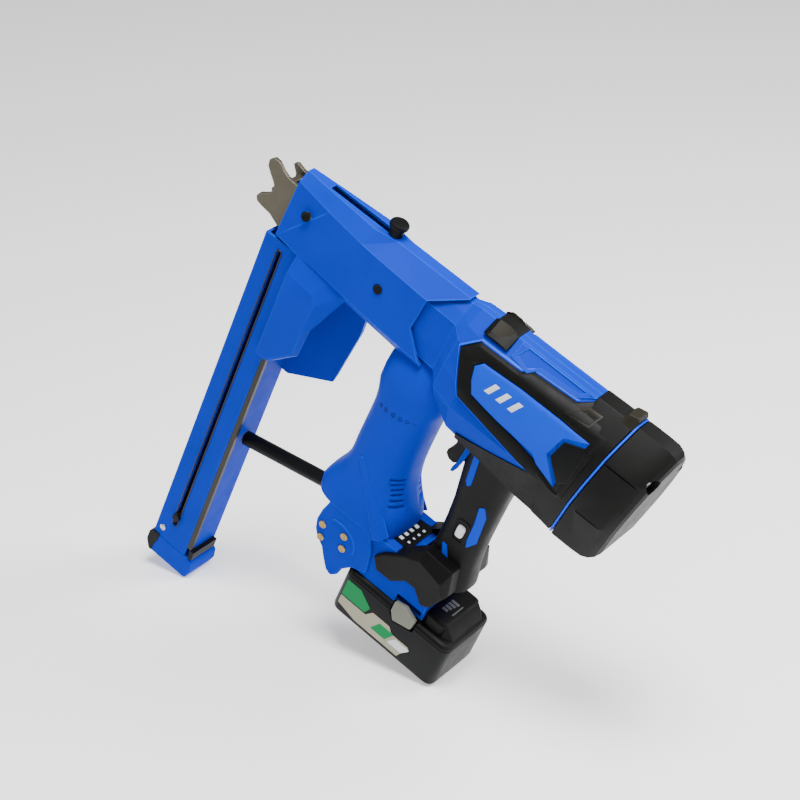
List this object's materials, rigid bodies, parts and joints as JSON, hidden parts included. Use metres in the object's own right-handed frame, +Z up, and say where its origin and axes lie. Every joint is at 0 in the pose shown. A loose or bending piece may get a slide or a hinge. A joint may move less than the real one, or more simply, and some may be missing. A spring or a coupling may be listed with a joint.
{
  "type": "cordless_stapler",
  "caption": "Battery-powered construction stapler or clip gun with a long raked magazine, a motor column, a rear pistol handle and a slide-on battery",
  "frame": {"origin": "centre of the part's box in plan, on the plane that the magazine foot and the rear edge of the battery stand on", "axes": "+Z up; -X is the nose end and +X the rear cap end; +Y is the tool's right side. The barrel leans 23.7 degrees nose up from the horizontal"},
  "size_m": [0.5988, 0.0934, 0.4837],
  "materials": {
    "blue_shell": "satin moulded plastic",
    "gunmetal": "dark phosphate finish",
    "alloy": "cast, machined",
    "steel": "bright steel",
    "black_overmould": "fine-grained overmould",
    "dark_rail": "dark coated steel",
    "black_plastic": "satin",
    "seam_blue": "smooth",
    "rubber": "matt",
    "motor_core": "laminations and windings",
    "board_green": "lacquered board",
    "brass": "polished heads",
    "switch_white": "smooth",
    "latch_grey": "satin grey"
  },
  "bodies": {
    "tool": {"front_cover": "blue_shell", "cover_screw_front": "gunmetal", "cover_screw_rear": "gunmetal", "nose_guide": "alloy", "contact_spring": "steel", "magazine_left": "blue_shell", "magazine_right": "blue_shell", "magazine_rail": "dark_rail", "staple_core": "steel", "magazine_foot": "blue_shell", "foot_corner": "black_plastic", "magazine_end_block": "black_plastic", "magazine_bracket_left": "blue_shell", "magazine_bracket_right": "blue_shell", "housing_left": "blue_shell", "housing_right": "blue_shell", "side_frame_left": "black_overmould", "side_frame_right": "black_overmould", "top_bumper": "black_overmould", "rear_band": "black_overmould", "seam_gasket": "seam_blue", "rear_cap": "black_overmould", "cap_screw_left": "steel", "cap_screw_right": "steel", "drive_cylinder": "alloy", "piston_bumper": "rubber", "motor_housing_left": "blue_shell", "motor_housing_right": "blue_shell", "gearbox": "alloy", "motor_stator": "motor_core", "base_left": "blue_shell", "base_right": "blue_shell", "display_panel": "black_plastic", "control_board": "board_green", "base_pad_left": "black_overmould", "base_pad_right": "black_overmould", "brace_plate_left": "blue_shell", "brace_plate_right": "blue_shell", "brace_rivet_1": "brass", "brace_rivet_2": "brass", "brace_rivet_3": "brass", "brace_rivet_4": "brass", "brace_rod": "black_plastic", "handle_left": "black_overmould", "handle_right": "black_overmould", "trigger_switch": "black_plastic"},
    "trigger": {"trigger": "black_plastic"},
    "nose_contact": {"nose_contact": "gunmetal"},
    "slot_knob": {"slot_knob": "black_overmould"},
    "driver": {"piston": "alloy", "driver_blade": "steel"},
    "motor_rotor": {"motor_rotor": "steel"},
    "lifter_wheel": {"lifter_wheel": "steel"},
    "pusher": {"pusher": "black_plastic", "pusher_spring": "steel"},
    "battery": {"battery_case": "black_overmould", "battery_lid": "black_plastic"},
    "latch_left": {"battery_latch_left": "latch_grey"},
    "latch_right": {"battery_latch_right": "latch_grey"},
    "mode_switch": {"mode_switch": "switch_white"}
  },
  "joints": [
    {"name": "trigger_pull", "type": "hinge", "parent": "tool", "child": "trigger", "pos_m": [0.09648, 0, 0.26211], "axis": [0, -1, 0], "range_deg": [0, 10], "stiffness_Nm_per_rad": 0.6, "springref_deg": -5.16},
    {"name": "nose_press", "type": "slide", "parent": "tool", "child": "nose_contact", "axis": [0.9159, 0, -0.4015], "range_m": [0, 0.008], "stiffness_N_per_m": 700, "springref_m": -0.006, "deforming": ["contact_spring"]},
    {"name": "knob_slide", "type": "slide", "parent": "tool", "child": "slot_knob", "axis": [-0.9159, 0, 0.4015], "range_m": [0, 0.066]},
    {"name": "driver_stroke", "type": "slide", "parent": "tool", "child": "driver", "axis": [-0.9159, 0, 0.4015], "range_m": [0, 0.088]},
    {"name": "rotor_spin", "type": "hinge", "parent": "tool", "child": "motor_rotor", "pos_m": [0.01907, 0, 0.26984], "axis": [0.4015, 0, 0.9159], "continuous": true},
    {"name": "lifter_spin", "type": "hinge", "parent": "tool", "child": "lifter_wheel", "pos_m": [0.04958, 0, 0.33945], "axis": [0, 1, 0], "continuous": true},
    {"name": "pusher_feed", "type": "slide", "parent": "tool", "child": "pusher", "axis": [0.4015, 0, 0.9159], "range_m": [0, 0.33]},
    {"name": "battery_slide", "type": "slide", "parent": "tool", "child": "battery", "axis": [0.9159, 0, -0.4015], "range_m": [0, 0.1]},
    {"name": "latch_left_press", "type": "slide", "parent": "battery", "child": "latch_left", "axis": [0, 1, 0], "range_m": [0, 0.003], "stiffness_N_per_m": 900, "springref_m": -0.003},
    {"name": "latch_right_press", "type": "slide", "parent": "battery", "child": "latch_right", "axis": [0, -1, 0], "range_m": [0, 0.003], "stiffness_N_per_m": 900, "springref_m": -0.003},
    {"name": "mode_switch_slide", "type": "slide", "parent": "tool", "child": "mode_switch", "axis": [0.4015, 0, 0.9159], "range_m": [-0.003, 0.003]}
  ],
  "couplings": [
    {"joint": "lifter_spin", "follows": "rotor_spin", "ratio": 0.04167}
  ]
}
